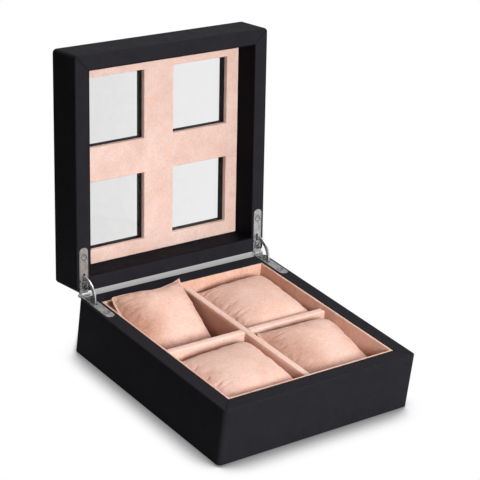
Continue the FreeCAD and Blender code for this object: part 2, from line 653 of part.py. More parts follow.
# Every object has to be sound before anything is written.
for item in doc.Objects:
    if "Invalid" in item.State or "Error" in item.State:
        raise RuntimeError(f"{item.Name} failed: {item.State}")
for piece in pieces:
    if piece.Shape.isNull() or not piece.Shape.isValid():
        raise RuntimeError(f"{piece.Label} has no sound shape")

os.makedirs("parts", exist_ok=True)
for piece in pieces:
    piece.Shape.exportStep(f"parts/{piece.Label}.step")
    print(f"{piece.Label}: {len(piece.Shape.Solids)} solid, {piece.Shape.Volume:.1f} mm3")
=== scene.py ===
import math
import bmesh
import bpy
from mathutils import Matrix, Vector, noise


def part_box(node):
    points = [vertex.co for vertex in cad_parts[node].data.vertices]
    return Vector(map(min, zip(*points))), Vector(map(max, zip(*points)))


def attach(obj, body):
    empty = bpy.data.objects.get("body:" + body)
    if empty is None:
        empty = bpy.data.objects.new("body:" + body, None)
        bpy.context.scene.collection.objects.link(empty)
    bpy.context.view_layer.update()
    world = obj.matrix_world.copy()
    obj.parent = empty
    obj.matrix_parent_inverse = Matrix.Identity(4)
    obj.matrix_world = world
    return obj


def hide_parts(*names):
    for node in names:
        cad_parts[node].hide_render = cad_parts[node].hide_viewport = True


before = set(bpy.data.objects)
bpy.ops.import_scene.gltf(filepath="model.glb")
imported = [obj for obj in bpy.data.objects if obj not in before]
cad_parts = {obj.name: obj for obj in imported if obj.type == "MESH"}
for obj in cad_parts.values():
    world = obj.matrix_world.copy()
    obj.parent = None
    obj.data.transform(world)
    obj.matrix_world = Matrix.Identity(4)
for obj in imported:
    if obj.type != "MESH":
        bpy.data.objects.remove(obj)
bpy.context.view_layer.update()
scene = bpy.context.scene
scene.view_settings.view_transform = "Standard"

# Viewpoint: a long lens from the front left, a little above the open lid.
# The picture leans by a few degrees, so that the upright edges of the box tilt in it.
view_turn = math.radians(-40.895)
view_rise = math.radians(25.446)
view_lean = math.radians(7.268)
view_distance = 1.340046
view_middle = Vector((-0.121272, -0.117932, 0.209317))
view_lens = 140.33
view_film = 36
view_near = 0.05
outward = math.cos(view_rise)
towards = Vector((math.sin(view_turn) * outward, -math.cos(view_turn) * outward, math.sin(view_rise)))
level = Vector((0, 0, 1)).cross(towards).normalized()
upright = towards.cross(level)
across = level * math.cos(view_lean) + upright * math.sin(view_lean)
upward = upright * math.cos(view_lean) - level * math.sin(view_lean)
bpy.ops.object.select_all(action="DESELECT")
bpy.ops.object.camera_add()
camera = bpy.context.object
camera.name = "viewpoint"
camera.data.lens = view_lens
camera.data.sensor_width = view_film
camera.data.clip_start = view_near
facing = Matrix((across, upward, towards)).transposed().to_4x4()
camera.matrix_world = Matrix.Translation(view_middle + towards * view_distance) @ facing
scene.camera = camera

# Studio: a white sweep in front of a large soft lamp, in a pale room that is dark on the left.
# Close to the box the floor's glow is darkened into a painted soft shadow, and further out it runs into plain
# white.
# Behind the box a painted shadow lies in a slanting patch, which shows in the gap between lid and base.
floor_size = 12.0
floor_drop = 0.0004
floor_bounce = 0.15
floor_white = 0.80
floor_rough = 0.9
shadow_reach = 0.035
shadow_samples = 16
shadow_open = (0.45, 0.86)
shadow_depth = 0.24
bare_right = (0.085, 0.105)
bare_front = (-0.105, -0.080)
shade_turn = math.radians(49.1)
shade_left = (-0.146, -0.139)
shade_right = (0.001, 0.011)
shade_start = (0.092, 0.104)
shade_fade = (0.165, 0.235)
shade_level = 0.27
left_reflection_edge = (-0.20, -0.08)
room_light = 0.20
room_light_turn = (-0.1, 0.5)
room_back = 0.30
room_back_turn = (0.1, 0.8)
room_shade = 0.05
room_mirror = 0.5
room_mirror_turn = (-0.5, 0.3)
lamp_aim = Vector((0.0, 0.0, 0.08))
lamps = (
    ("front_lamp", Vector((-0.20, -1.79, 0.86)), 0.7, 1.02),
    ("top_lamp", Vector((0.70, 0.05, 1.85)), 0.9, 0.46),
)


def add_node(tree, kind, inputs=None, **settings):
    """A node with its settings, and its inputs given as plain values or as the sockets that feed them."""
    node = tree.nodes.new(kind)
    for setting, value in settings.items():
        setattr(node, setting, value)
    for socket, value in (inputs or {}).items():
        if isinstance(value, bpy.types.NodeSocket):
            tree.links.new(value, node.inputs[socket])
        else:
            node.inputs[socket].default_value = value
    return node


def reckon(tree, operation, first, second=0.0, third=0.0):
    """The result of one sum on two or three values."""
    values = {0: first, 1: second, 2: third}
    return add_node(tree, "ShaderNodeMath", values, operation=operation).outputs[0]


def ramp(tree, value, low, high, first=0.0, last=1.0):
    """A value eased from first to last while the given one goes from low to high."""
    values = {"Value": value, "From Min": low, "From Max": high, "To Min": first, "To Max": last}
    return add_node(tree, "ShaderNodeMapRange", values, interpolation_type="SMOOTHSTEP").outputs[0]


def between(tree, share, first, second):
    """A value between two others."""
    return add_node(tree, "ShaderNodeMix", {0: share, 2: first, 3: second}).outputs[0]


bpy.ops.object.select_all(action="DESELECT")
bpy.ops.mesh.primitive_plane_add(size=floor_size, location=(0, 0, -floor_drop))
floor = bpy.context.object
floor.name = "floor"
bpy.ops.object.transform_apply(location=True, rotation=True, scale=True)
white_sweep = bpy.data.materials.new("white_sweep")
white_sweep.use_nodes = True
tree = white_sweep.node_tree
rays = add_node(tree, "ShaderNodeLightPath").outputs
seen = reckon(tree, "MAXIMUM", rays["Is Camera Ray"], rays["Is Transmission Ray"])
spot = add_node(tree, "ShaderNodeTexCoord").outputs["Object"]
ground = add_node(tree, "ShaderNodeSeparateXYZ", {0: spot}).outputs
# Painted shadow: the floor's glow is darkened where the box closes in the sky, and in a slanting patch behind
# it.
open_sky = add_node(tree, "ShaderNodeAmbientOcclusion", {"Distance": shadow_reach}, samples=shadow_samples)
floor_level = ramp(tree, open_sky.outputs["AO"], *shadow_open, shadow_depth, 1.0)
bare = reckon(tree, "MULTIPLY", ramp(tree, ground[0], *bare_right), ramp(tree, ground[1], *bare_front))
floor_level = between(tree, bare, floor_level, 1.0)
beside = reckon(tree, "MULTIPLY", ground[1], -math.cos(shade_turn))
beside = reckon(tree, "MULTIPLY_ADD", ground[0], math.sin(shade_turn), beside)
behind = ramp(tree, ground[1], *shade_start)
behind = reckon(tree, "MULTIPLY", behind, ramp(tree, beside, *shade_left))
behind = reckon(tree, "MULTIPLY", behind, ramp(tree, beside, *shade_right, 1.0, 0.0))
cast = between(tree, behind, 1.0, ramp(tree, ground[1], *shade_fade, shade_level, 1.0))
floor_level = reckon(tree, "MINIMUM", floor_level, cast)
# Painted shade: towards the left the floor shows darker in reflections only.
left_reflection_shade = ramp(tree, ground[0], *left_reflection_edge, room_shade, 1.0)
mirrored_level = between(tree, rays["Is Glossy Ray"], 1.0, left_reflection_shade)
glow = add_node(tree, "ShaderNodeEmission", {"Color": (1, 1, 1, 1)})
tree.links.new(reckon(tree, "MULTIPLY", floor_level, mirrored_level), glow.inputs["Strength"])
paper = tree.nodes["Principled BSDF"]
bounced, white = ((tone, tone, tone, 1) for tone in (floor_bounce, floor_white))
paper_mix = add_node(tree, "ShaderNodeMix", {0: seen, 6: bounced, 7: white}, data_type="RGBA")
tree.links.new(paper_mix.outputs[2], paper.inputs["Base Color"])
paper.inputs["Roughness"].default_value = floor_rough
paper.inputs["Specular IOR Level"].default_value = 0.0
share = reckon(tree, "MAXIMUM", seen, rays["Is Glossy Ray"])
lit = add_node(tree, "ShaderNodeMixShader", {0: share, 1: paper.outputs[0], 2: glow.outputs[0]})
clear = add_node(tree, "ShaderNodeBsdfTransparent")
under = add_node(tree, "ShaderNodeNewGeometry").outputs["Backfacing"]
shown = add_node(tree, "ShaderNodeMixShader", {0: under, 1: lit.outputs[0], 2: clear.outputs[0]})
tree.links.new(shown.outputs[0], tree.nodes["Material Output"].inputs["Surface"])
floor.data.materials.append(white_sweep)

room = bpy.data.worlds.new("pale_room")
room.use_nodes = True
tree = room.node_tree
rays = add_node(tree, "ShaderNodeLightPath").outputs
seen = reckon(tree, "MAXIMUM", rays["Is Camera Ray"], rays["Is Transmission Ray"])
spot = add_node(tree, "ShaderNodeTexCoord").outputs["Generated"]
ways = add_node(tree, "ShaderNodeSeparateXYZ", {0: spot}).outputs
light = ramp(tree, ways[0], *room_light_turn, room_light * room_shade, room_light)
light = reckon(tree, "ADD", light, ramp(tree, ways[1], *room_back_turn, 0.0, room_back))
mirrored = ramp(tree, ways[0], *room_mirror_turn, room_shade, room_mirror)
room_level = between(tree, rays["Is Glossy Ray"], light, mirrored)
room_level = between(tree, seen, room_level, 1.0)
backdrop = tree.nodes["Background"].inputs
backdrop["Color"].default_value = (1, 1, 1, 1)
tree.links.new(room_level, backdrop["Strength"])
scene.world = room

for name, place, size, strength in lamps:
    bpy.ops.object.select_all(action="DESELECT")
    bpy.ops.object.light_add(type="AREA", location=place)
    lamp = bpy.context.object
    lamp.name = name
    lamp.data.shape = "DISK"
    lamp.data.size = size
    lamp.data.energy = strength * math.pi ** 2 * (place - lamp_aim).length_squared
    lamp.rotation_euler = (place - lamp_aim).to_track_quat("Z", "Y").to_euler()

# Boards: the walls of base and lid, the bottom and the lid's board, of fibreboard coloured near-black all
# through.
# They are glued up at the corners, and the leatherette hides them but for the pockets under the hinges.
# The near-black stands for the black leather turned in at the lid's windows, and is a painted shade in the
# pockets under the hinges.
board_pale = (0.034, 0.027, 0.022, 1)
board_dark = (0.012, 0.010, 0.009, 1)
board_fibres = (900.0, 4.0, 0.7)
board_rough = (0.75, 0.9)
board_relief = (0.3, 0.0003)
noise_span = (0.3, 0.7)


def new_finish(name):
    """A new material, with its node tree and its one shader."""
    finish = bpy.data.materials.new(name)
    finish.use_nodes = True
    return finish, finish.node_tree, finish.node_tree.nodes["Principled BSDF"]


def blended(tree, share, first, second):
    """A colour between two others."""
    mix = add_node(tree, "ShaderNodeMix", {0: share, 6: first, 7: second}, data_type="RGBA")
    return mix.outputs[2]


def cloudy(tree, spot, scale, detail, rough, twist=0.0):
    """Soft noise of so many lumps to the metre, with its detail, its roughness and its twist."""
    values = {"Vector": spot, "Scale": scale, "Detail": detail, "Roughness": rough, "Distortion": twist}
    return add_node(tree, "ShaderNodeTexNoise", values).outputs["Fac"]


def emboss(tree, shader, height, strength, depth):
    """Lets the height of a pattern show as fine relief, of a strength from 0 to 1 and a depth."""
    rise = add_node(tree, "ShaderNodeBump", {"Strength": strength, "Distance": depth, "Height": height})
    tree.links.new(rise.outputs[0], shader.inputs["Normal"])


def dress(finish, *nodes):
    """Gives one finish to parts that keep the shape they were cut to."""
    for node in nodes:
        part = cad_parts[node]
        part.data.materials.clear()
        part.data.materials.append(finish)


fibreboard, tree, shader = new_finish("fibreboard")
spot = add_node(tree, "ShaderNodeTexCoord").outputs["Object"]
fibres = cloudy(tree, spot, *board_fibres)
colour = blended(tree, ramp(tree, fibres, *noise_span), board_dark, board_pale)
tree.links.new(colour, shader.inputs["Base Color"])
tree.links.new(ramp(tree, fibres, *noise_span, *board_rough), shader.inputs["Roughness"])
emboss(tree, shader, fibres, *board_relief)
for half in ("base", "lid"):
    dress(fibreboard, *(f"{half}_{side}_wall" for side in ("left", "right", "front", "back")))
dress(fibreboard, "base_bottom_panel", "lid_top_panel")

# Felt: a thin black sheet of pressed wool glued under the base.
# It covers the turned-in leatherette and keeps the box from marking what it stands on.
felt_dark = (0.006, 0.006, 0.007, 1)
felt_pale = (0.022, 0.022, 0.024, 1)
felt_tufts = (450.0, 6.0, 0.75, 2.0)
felt_span = (0.35, 0.65)
felt_rough = (0.95, 0.8)
felt_gloss = 0.1
felt_sheen = 0.25
felt_relief = (0.6, 0.0006)
felt, tree, shader = new_finish("pressed_felt")
spot = add_node(tree, "ShaderNodeTexCoord").outputs["Object"]
tufts = cloudy(tree, spot, *felt_tufts)
colour = blended(tree, ramp(tree, tufts, *felt_span), felt_dark, felt_pale)
tree.links.new(colour, shader.inputs["Base Color"])
tree.links.new(ramp(tree, tufts, *noise_span, *felt_rough), shader.inputs["Roughness"])
shader.inputs["Specular IOR Level"].default_value = felt_gloss
shader.inputs["Sheen Weight"].default_value = felt_sheen
emboss(tree, shader, tufts, *felt_relief)
dress(felt, "base_felt")

# Leatherette: a fine-grained black sheet wrapped round the walls of the base and turned over its rim.
# Two strips meet at each corner of the rim in a mitre, which shows as a thin line.
skin_dark = (0.0150, 0.0142, 0.0178, 1)
skin_pale = (0.0265, 0.0252, 0.0305, 1)
recess_shade_colour = (0.0, 0.0005, 0.003, 1)
skin_tone = (0.15, 0.35, 0.5)
skin_rough = (0.46, 0.10, 0.12)
skin_gloss = 0.035
skin_bends = 420.0
skin_bend_detail = 2.0
skin_bend_depth = 0.0012
skin_pores = (2600.0, 2.0, 0.6)
skin_pore_rise = 0.35
skin_rolls = (70.0, 3.0, 0.6, 0.6)
skin_relief = (0.45, 0.00018)
grain_size = 0.00075
grain_furrow = 0.28
box_half_width = 0.1
box_half_depth = 0.10175
rim_height = 0.0512
rim_skin = 0.0006
rim_clear = 0.001
mitre_width = 0.00022
mitre_soft = 2.2
mitre_depth = 2.0
mitre_black = (0.002, 0.002, 0.0025, 1)
recess_edge = (0.0125, 0.0135)
recess_top = (0.025, 0.026)

leather_grain = bpy.data.node_groups.new("leather_grain", "ShaderNodeTree")
for socket, kind in (("Place", "NodeSocketVector"), ("Cells", "NodeSocketFloat")):
    leather_grain.interface.new_socket(socket, in_out="INPUT", socket_type=kind)
for socket in ("Height", "Tone", "Roughness"):
    leather_grain.interface.new_socket(socket, in_out="OUTPUT", socket_type="NodeSocketFloat")
given = add_node(leather_grain, "NodeGroupInput").outputs
values = {"Vector": given["Place"], "Scale": skin_bends, "Detail": skin_bend_detail}
bent = add_node(leather_grain, "ShaderNodeTexNoise", values).outputs["Color"]
values = {0: bent, 1: (skin_bend_depth, skin_bend_depth, skin_bend_depth), 2: given["Place"]}
bent = add_node(leather_grain, "ShaderNodeVectorMath", values, operation="MULTIPLY_ADD").outputs[0]
values = {"Vector": bent, "Scale": given["Cells"]}
cells = add_node(leather_grain, "ShaderNodeTexVoronoi", values, feature="DISTANCE_TO_EDGE")
pebbles = ramp(leather_grain, cells.outputs["Distance"], 0.0, grain_furrow)
furrows = reckon(leather_grain, "SUBTRACT", 1.0, pebbles)
pores = cloudy(leather_grain, given["Place"], *skin_pores)
rolled = ramp(leather_grain, cloudy(leather_grain, given["Place"], *skin_rolls), *noise_span)
height = reckon(leather_grain, "MULTIPLY_ADD", pores, skin_pore_rise, pebbles)
least, by_roll, by_pebble = skin_tone
tone = reckon(leather_grain, "MULTIPLY_ADD", rolled, by_roll, least)
tone = reckon(leather_grain, "MULTIPLY_ADD", pebbles, by_pebble, tone)
least, by_roll, by_furrow = skin_rough
rough = reckon(leather_grain, "MULTIPLY_ADD", rolled, by_roll, least)
rough = reckon(leather_grain, "MULTIPLY_ADD", furrows, by_furrow, rough)
taken = add_node(leather_grain, "NodeGroupOutput").inputs
for socket, value in (("Height", height), ("Tone", tone), ("Roughness", rough)):
    leather_grain.links.new(value, taken[socket])


def set_out(tree, place, turn):
    """The places on a part, measured in a frame of its own."""
    spot = add_node(tree, "ShaderNodeTexCoord").outputs["Object"]
    values = {"Vector": spot, "Location": place, "Rotation": turn}
    return add_node(tree, "ShaderNodeMapping", values, vector_type="TEXTURE").outputs[0]


def leatherette(name, place, turn, rim, recess_shade=0.0):
    """The sheet with its grain, mitred between two heights of its frame, and with painted shade down in the
    recess.
    """
    finish, tree, shader = new_finish(name)
    framed = set_out(tree, place, turn)
    values = {"Place": framed, "Cells": 1 / grain_size}
    grain = add_node(tree, "ShaderNodeGroup", values, node_tree=leather_grain).outputs
    axes = add_node(tree, "ShaderNodeSeparateXYZ", {0: framed}).outputs
    inset_x = reckon(tree, "SUBTRACT", box_half_width, reckon(tree, "ABSOLUTE", axes[0]))
    inset_y = reckon(tree, "SUBTRACT", box_half_depth, reckon(tree, "ABSOLUTE", axes[1]))
    off_line = reckon(tree, "ABSOLUTE", reckon(tree, "SUBTRACT", inset_x, inset_y))
    mitre = ramp(tree, off_line, mitre_width, mitre_soft * mitre_width, 1.0, 0.0)
    mitre = reckon(tree, "MULTIPLY", mitre, reckon(tree, "GREATER_THAN", axes[2], rim[0]))
    mitre = reckon(tree, "MULTIPLY", mitre, reckon(tree, "LESS_THAN", axes[2], rim[1]))
    # Painted shade: darker down the walls of the recess.
    recess = ramp(tree, reckon(tree, "MINIMUM", inset_x, inset_y), *recess_edge, 0.0, recess_shade)
    recess = reckon(tree, "MULTIPLY", recess, ramp(tree, axes[2], *recess_top, 1.0, 0.0))
    colour = blended(tree, grain["Tone"], skin_dark, skin_pale)
    colour = blended(tree, recess, colour, recess_shade_colour)
    colour = blended(tree, mitre, colour, mitre_black)
    tree.links.new(colour, shader.inputs["Base Color"])
    tree.links.new(grain["Roughness"], shader.inputs["Roughness"])
    shader.inputs["Specular IOR Level"].default_value = skin_gloss
    relief = reckon(tree, "MULTIPLY_ADD", mitre, -mitre_depth, grain["Height"])
    emboss(tree, shader, relief, *skin_relief)
    return finish


base_rim = (rim_height - rim_skin, rim_height + rim_clear)
dress(leatherette("leatherette_base", (0, 0, 0), (0, 0, 0), base_rim), "base_leather_cover")

# Lining: thin boards covered in pale suede-like velvet, pushed in against the walls and laid on the bottom.
# The cloth is wrapped round their edges, so that the edges are soft and catch the light.
velvet_pale = (0.98, 0.705, 0.622, 1)
velvet_shade = (0.74, 0.432, 0.330, 1)
velvet_painted_shade = (0.46, 0.212, 0.128, 1)
velvet_rubbed = (0.93, 0.575, 0.440, 1)
velvet_rough = (0.95, 0.8)
velvet_gloss = 0.12
velvet_sheen = 0.10
velvet_sheen_rough = 0.45
velvet_sheen_tint = (1.0, 0.86, 0.76, 1)
velvet_relief = (0.35, 0.0005)
nap_clouds = (30.0, 3.0, 0.55, 0.5)
nap_strokes = (4.0, 0.6, 0.7)
nap_tufts = (760.0, 3.0, 0.65, 0.3)
nap_fibres = (1500.0, 2.0, 0.7)
nap_tuft_rise = 0.8
rubbed_patches = (42.0, 4.0, 0.62, 1.0)
rubbed_span = (0.50, 0.70)
crest_turn = (0.001, 0.005)
crest_shade_depth = 0.5
painted_shade_span = (0.2, 0.8)
painted_shade_depth = (0.74, 0.56)
# The lining's velvet is painted darker and more saturated than the pillows', a painted shade.
lining_shaded_pale = (0.95, 0.668, 0.555, 1)
lining_shaded_dark = (0.70, 0.405, 0.278, 1)
lining_strokes = 240.0
lining_brush = (1, 1, 0.35)
lining_round = 0.0006
lining_edge = 0.0003
round_steps = 6
edge_steps = 3
soft_angle = math.radians(40)
touch = 1e-5

velvet_nap = bpy.data.node_groups.new("velvet_nap", "ShaderNodeTree")
for socket, kind in (("Place", "NodeSocketVector"), ("Brushed", "NodeSocketFloat")):
    velvet_nap.interface.new_socket(socket, in_out="INPUT", socket_type=kind)
for socket in ("Tone", "Height"):
    velvet_nap.interface.new_socket(socket, in_out="OUTPUT", socket_type="NodeSocketFloat")
given = add_node(velvet_nap, "NodeGroupInput").outputs
clouds = cloudy(velvet_nap, given["Place"], *nap_clouds)
strokes = cloudy(velvet_nap, given["Place"], given["Brushed"], *nap_strokes)
tufts = cloudy(velvet_nap, given["Place"], *nap_tufts)
fibres = cloudy(velvet_nap, given["Place"], *nap_fibres)
nap_layers = ((clouds, 0.30, 0.34), (strokes, 0.30, 0.18), (tufts, 0.38, 0.26), (fibres, 0.34, 0.22))
tone = 0.0
for layer, low, share in nap_layers:
    tone = reckon(velvet_nap, "MULTIPLY_ADD", ramp(velvet_nap, layer, low, 1 - low), share, tone)
height = reckon(velvet_nap, "MULTIPLY_ADD", tufts, nap_tuft_rise, fibres)
taken = add_node(velvet_nap, "NodeGroupOutput").inputs
for socket, value in (("Tone", tone), ("Height", height)):
    velvet_nap.links.new(value, taken[socket])


def velvet(name, strokes_per_metre, pale, shade, brush=(1, 1, 1), rubbed=0.0, crest=None, painted_shade=None):
    """Velvet with so many brush strokes to the metre, drawn out by the scale of its brush.

    It can be rubbed warm in patches, and darkened with painted shade below a crest and where an attribute
    gives a share of painted shade.
    """
    finish, tree, shader = new_finish(name)
    spot = add_node(tree, "ShaderNodeTexCoord").outputs["Object"]
    drawn = add_node(tree, "ShaderNodeMapping", {"Vector": spot, "Scale": brush}).outputs[0]
    values = {"Place": drawn, "Brushed": strokes_per_metre}
    nap = add_node(tree, "ShaderNodeGroup", values, node_tree=velvet_nap).outputs
    colour = blended(tree, nap["Tone"], shade, pale)
    if rubbed:
        patches = cloudy(tree, drawn, *rubbed_patches)
        colour = blended(tree, ramp(tree, patches, *rubbed_span, 0.0, rubbed), colour, velvet_rubbed)
    # Painted shade below the crest.
    if crest:
        height = add_node(tree, "ShaderNodeSeparateXYZ", {0: spot}).outputs[2]
        below = ramp(tree, height, crest - crest_turn[1], crest - crest_turn[0], crest_shade_depth, 0.0)
        colour = blended(tree, below, colour, velvet_painted_shade)
    # Painted shade where the attribute gives it.
    if painted_shade:
        share = add_node(tree, "ShaderNodeAttribute", attribute_name=painted_shade).outputs["Fac"]
        share = reckon(tree, "MULTIPLY", share, ramp(tree, nap["Tone"], *painted_shade_span, *painted_shade_depth))
        colour = blended(tree, share, colour, velvet_painted_shade)
    tree.links.new(colour, shader.inputs["Base Color"])
    tree.links.new(ramp(tree, nap["Tone"], 0.0, 1.0, *velvet_rough), shader.inputs["Roughness"])
    shader.inputs["Specular IOR Level"].default_value = velvet_gloss
    shader.inputs["Sheen Weight"].default_value = velvet_sheen
    shader.inputs["Sheen Roughness"].default_value = velvet_sheen_rough
    shader.inputs["Sheen Tint"].default_value = velvet_sheen_tint
    emboss(tree, shader, nap["Height"], *velvet_relief)
    return finish


def pick_edges(piece, wanted):
    """Selects, in edit mode, the edges that are as wanted."""
    bpy.ops.mesh.select_mode(type="EDGE")
    bpy.ops.mesh.select_all(action="DESELECT")
    cage = bmesh.from_edit_mesh(piece.data)
    for edge in cage.edges:
        edge.select_set(wanted(edge))
    bmesh.update_edit_mesh(piece.data)


def covered_board(node, top_round, edge_round, finish):
    """A velvet-covered board in the place of a node and of its size, with rounder edges at its top."""
    low, high = (Vector(corner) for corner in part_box(node))
    bpy.ops.object.select_all(action="DESELECT")
    bpy.ops.mesh.primitive_cube_add(size=1, location=(low + high) / 2, scale=high - low)
    piece = bpy.context.object
    piece.name = f"{node}_covered"
    bpy.ops.object.transform_apply(location=True, rotation=True, scale=True)
    bpy.ops.object.mode_set(mode="EDIT")
    pick_edges(piece, lambda edge: all(end.co.z > high.z - touch for end in edge.verts))
    bpy.ops.mesh.bevel(offset=top_round, segments=round_steps, affect="EDGES")
    pick_edges(piece, lambda edge: all(end.co.z < high.z - top_round + touch for end in edge.verts))
    bpy.ops.mesh.bevel(offset=edge_round, segments=edge_steps, affect="EDGES")
    bpy.ops.object.mode_set(mode="OBJECT")
    bpy.ops.object.shade_smooth_by_angle(angle=soft_angle)
    piece.data.materials.append(finish)
    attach(piece, "base")
    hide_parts(node)


lining_velvet = velvet("velvet_lining", lining_strokes, lining_shaded_pale, lining_shaded_dark, lining_brush)
for node in ("lining_left", "lining_right", "lining_front", "lining_back", "floor_pad"):
    covered_board(node, lining_round, lining_edge, lining_velvet)

# Dividers: a long padded board from front to back and two short ones across it, covered in the same velvet.
# The cloth is folded over their tops, which are round, and they are pushed down between the linings.
# The dividers' velvet is painted paler than the pillows', a painted light.
divider_lit_pale = (1.0, 0.745, 0.652, 1)
divider_lit_dark = (0.82, 0.525, 0.420, 1)
divider_strokes = 260.0
divider_round = 0.0014
divider_edge = 0.0004
for node in ("divider_long", "divider_cross_left", "divider_cross_right"):
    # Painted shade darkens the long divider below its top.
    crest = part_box(node)[1][2] if node == "divider_long" else None
    divider_velvet = velvet(f"velvet_{node}", divider_strokes, divider_lit_pale, divider_lit_dark, crest=crest)
    covered_board(node, divider_round, divider_edge, divider_velvet)

# Cushions: four loose pillows, each two squares of velvet sewn together round the edge and stuffed.
# The corners stand out as ears, the edges between them are drawn in, and the sewn ends are creased.
# Of two values the left end's comes first. A lean is degrees back and sideways, a dip its place and depth.
# The last value of each pillow is its share of painted shade, which darkens it towards the left and front, at
# its ends and in its folds.
pillows = {
    "front_left": {
        "place": (-0.0437, -0.0446, 0.0380), "lean": (3.0, 2.5), "crown": 0.0125, "belly": 0.0292,
        "half": 0.0397, "front": 0.0402, "rear": 0.0366, "ears": (0.0376, 0.0370), "blunt": (0.02, 0.02),
        "lift": (0.0, 0.0), "dip": (0.0, 0.0), "fall": (2.6, 4.4), "painted_shade": 0.1,
    },
    "front_right": {
        "place": (0.0438, -0.0440, 0.0364), "lean": (13.0, -1.5), "crown": 0.0122, "belly": 0.0276,
        "half": 0.0401, "front": 0.0396, "rear": 0.0374, "ears": (0.0380, 0.0310), "blunt": (0.02, 0.03),
        "lift": (0.0010, -0.0010), "dip": (0.0, 0.0), "fall": (2.6, 4.6), "painted_shade": 0.9,
    },
    "rear_left": {
        "place": (-0.0464, 0.0519, 0.0385), "lean": (30.0, -1.0), "crown": 0.0140, "belly": 0.0252,
        "half": 0.0374, "front": 0.0356, "rear": 0.0358, "ears": (0.0364, 0.0382), "blunt": (0.055, 0.0),
        "lift": (0.0010, 0.0016), "dip": (0.3, 0.0018), "fall": (2.2, 4.6), "painted_shade": 1.0,
    },
    "rear_right": {
        "place": (0.0438, 0.0446, 0.0393), "lean": (3.0, 2.0), "crown": 0.0120, "belly": 0.0304,
        "half": 0.0384, "front": 0.0398, "rear": 0.0366, "ears": (0.0376, 0.0374), "blunt": (0.02, 0.02),
        "lift": (0.0, 0.0), "dip": (0.0, 0.0), "fall": (2.6, 3.6), "painted_shade": 0.35,
    },
}
pillow_columns = 72
pillow_rows = 144
pillow_crowding = 0.25
pillow_end_draw = 0.0016
pillow_lip = 0.0016
pillow_lip_start = 0.952
pillow_lip_square = 60
pillow_side_fall = 2.8
pillow_dome = 0.58
pillow_dip_width = 0.4
ear_front = 0.0008
ear_out = 4
ear_in = 9
ear_lift = 6
ear_blunt = 8
lumps_per_metre = 160
lump_depth = 0.0003
lump_seed = 7
seam_merge = 0.00006
fold_rows = 9
fold_run = 1.1
fold_seed = 3.1
fold_shift = 7
fold_width = 0.16
fold_reach = (0.35, 0.85)
fold_end = 0.90
fold_right = 0.5
pleat_depth = 0.0011
# Painted shade on the pillows, kept in the attribute named nap: where it lies and how deep.
pillow_shade_left = (0.0, 0.75)
pillow_shade_rear = 0.35
pillow_shade_front = (-0.85, 0.1)
pillow_shade_left_end = (0.45, 0.62, 0.92)
pillow_shade_right_end = (0.55, 0.50, 0.95)
pillow_shade_lip = (0.7, 0.93, 1.0)
pillow_shade_fold = 0.8
stuffing = {
    "quality": 6, "mass": 0.1, "tension_stiffness": 8.0, "compression_stiffness": 8.0,
    "shear_stiffness": 3.0, "bending_stiffness": 0.4, "use_pressure": True, "uniform_pressure_force": 8.0,
    "vertex_group_mass": "seams", "shrink_min": -0.006,
}
stuffing_frames = 20
room_low = Vector((0.00315, 0.00315, 0.0092))
room_high = Vector((0.0844, 0.08615, 0.2))
pillow_clear = 0.0002
pillow_strokes = 260.0
pillow_rubbed = 0.30


def eased(value, low, high):
    """A smooth step from 0 to 1 while a value goes from low to high."""
    share = max(0.0, min(1.0, (value - low) / (high - low)))
    return share * share * (3 - 2 * share)


def crowded(value):
    """A station from -1 to 1, moved so that the stations lie closer at the seams."""
    return value * (1 + pillow_crowding - pillow_crowding * value ** 2)


def pillow_point(cut, station, across, above):
    """Where the cloth lies at a station along a pillow and a station across it, both from -1 to 1."""
    end = 0 if station < 0 else 1
    reach, width = abs(station), abs(across)
    half, corner = (cut["rear"], cut["ears"][end]) if across > 0 else (cut["front"], cut["front"] + ear_front)
    half += (corner - half) * reach ** (ear_out if corner > half else ear_in)
    if across > 0:
        half -= cut["dip"][1] * math.exp(-(((station - cut["dip"][0]) / pillow_dip_width) ** 2))
    length = cut["half"] - pillow_end_draw * (1 - across * across)
    dome = 1 - min(reach / pillow_lip_start, 1.0) ** cut["fall"][end]
    dome = (dome * (1 - min(width / pillow_lip_start, 1.0) ** pillow_side_fall)) ** pillow_dome
    lip = pillow_lip / 2 * (1 - reach ** pillow_lip_square) * (1 - width ** pillow_lip_square)
    height = lip + cut["crown"] * dome if above else -lip - cut["belly"] * dome
    if across > 0:
        height += cut["lift"][end] * (reach * width) ** ear_lift
    blunt = 1 - cut["blunt"][end] * (reach * width) ** ear_blunt
    return Vector((station * length * blunt, across * half * blunt, height))


def fold_at(station, across, edge, tilt):
    """How deep a fold runs in from a sewn end, deeper at the left one."""
    streak = noise.noise(Vector((across * fold_rows + fold_shift * tilt, station * fold_run, fold_seed)))
    fold = max(0.0, 1 - abs(streak) / fold_width) ** 2 * eased(abs(station), *fold_reach)
    fold *= 1 - eased(edge, fold_end, pillow_lip_start)
    return fold if station < 0 else fold * fold_right


def pillow_shade_at(station, across, edge, fold):
    """How much painted shade the cloth takes: towards the left and the front, at both ends and in the folds,
    and less on the sewn lip.
    """
    shade = eased(-station, *pillow_shade_left) * (pillow_shade_rear + (1 - pillow_shade_rear) * eased(-across, *pillow_shade_front))
    for way, (share, low, high) in ((-station, pillow_shade_left_end), (station, pillow_shade_right_end)):
        shade += share * eased(way, low, high)
    share, low, high = pillow_shade_lip
    shade *= 1 - share * eased(edge, low, high)
    return min(1.0, shade + pillow_shade_fold * fold)


